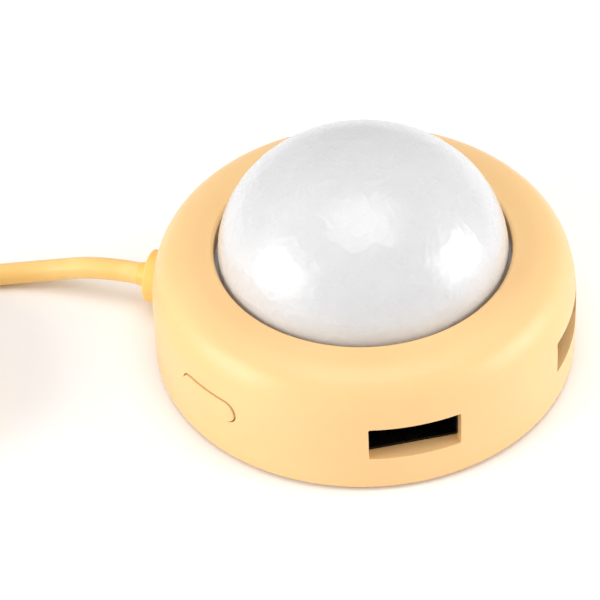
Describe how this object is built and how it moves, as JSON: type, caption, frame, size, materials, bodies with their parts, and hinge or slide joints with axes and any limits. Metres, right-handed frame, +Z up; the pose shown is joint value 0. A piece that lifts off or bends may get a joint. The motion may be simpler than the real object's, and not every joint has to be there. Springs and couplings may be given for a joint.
{
  "type": "usb hub",
  "caption": "Round apricot desktop USB hub: a rounded puck with USB-A slots round its wall, a milky ripple lamp dome on top, a side button and a captive cable with its plug.",
  "frame": {"origin": "middle of the underside of the anti-slip pad, on the table", "axes": "+Z up through the dome; +X halfway between the middle two of the four ports; the cable leaves at 150 degrees and the button is at 210 degrees, counter-clockwise from +X"},
  "size_m": [0.1446, 0.0705, 0.0342],
  "materials": {
    "shell_plastic": "fine matt moulded ABS, pale apricot",
    "base_plastic": "matt moulded ABS, pale apricot",
    "pad_rubber": "soft silicone, matt",
    "screw_steel": "zinc-plated steel",
    "dome_milky": "milky white translucent polycarbonate, glossy, with a faint water ripple",
    "diffuser_white": "white translucent plastic with a water-ripple surface",
    "white_plastic": "white moulded plastic",
    "white_board": "white solder mask",
    "led_yellow": "yellow phosphor in a white package",
    "chip_black": "black moulded epoxy",
    "core_wire": "coloured PVC insulation",
    "green_board": "green solder mask",
    "tinned_steel": "tinned steel",
    "can_aluminium": "bare aluminium can",
    "switch_black": "black nylon",
    "cable_jacket": "smooth soft PVC, apricot",
    "tie_strap": "woven hook-and-loop strap",
    "plug_overmold": "soft-touch moulded PVC, apricot",
    "plug_steel": "nickel-plated steel",
    "contact_gold": "gold-plated",
    "socket_black_metal": "black-coated steel",
    "socket_black_plastic": "black moulded plastic"
  },
  "bodies": {
    "hub": {"anti_slip_pad": "pad_rubber", "base_cover": "base_plastic", "base_screws": "screw_steel", "board_screws": "screw_steel", "cable_clamp": "tinned_steel", "cable_clamp_screws": "screw_steel", "cable_coil": "cable_jacket", "cable_cores": "core_wire", "cable_free": "cable_jacket", "cable_tail": "cable_jacket", "cable_tie": "tie_strap", "can_capacitors": "can_aluminium", "chip_resistors": "chip_black", "clamp_ring_screws": "screw_steel", "crystal": "tinned_steel", "dome_clamp_ring": "white_plastic", "dome_cover": "dome_milky", "hub_board": "green_board", "hub_chip": "chip_black", "hub_chip_legs": "tinned_steel", "inner_cable": "cable_jacket", "lamp_board": "white_board", "lamp_connector": "white_plastic", "lamp_leads": "core_wire", "lamp_leds": "led_yellow", "lamp_resistors": "chip_black", "outer_shell": "shell_plastic", "plug_body": "plug_overmold", "plug_contacts": "contact_gold", "plug_shell": "plug_steel", "plug_tongue": "white_plastic", "reflector_tray": "white_plastic", "ripple_diffuser": "diffuser_white", "strain_relief": "cable_jacket", "switch_body": "switch_black", "usb_port_1_contacts": "contact_gold", "usb_port_1_shell": "socket_black_metal", "usb_port_1_tongue": "socket_black_plastic", "usb_port_2_contacts": "contact_gold", "usb_port_2_shell": "socket_black_metal", "usb_port_2_tongue": "socket_black_plastic", "usb_port_3_contacts": "contact_gold", "usb_port_3_shell": "socket_black_metal", "usb_port_3_tongue": "socket_black_plastic", "usb_port_4_contacts": "contact_gold", "usb_port_4_shell": "socket_black_metal", "usb_port_4_tongue": "socket_black_plastic"},
    "lamp_button": {"button_cap": "shell_plastic", "switch_plunger": "switch_black"}
  },
  "joints": [
    {"name": "button_press", "type": "slide", "parent": "hub", "child": "lamp_button", "axis": [0.866, 0.5, 0], "range_m": [0, 0.0004], "stiffness_N_per_m": 3000}
  ]
}
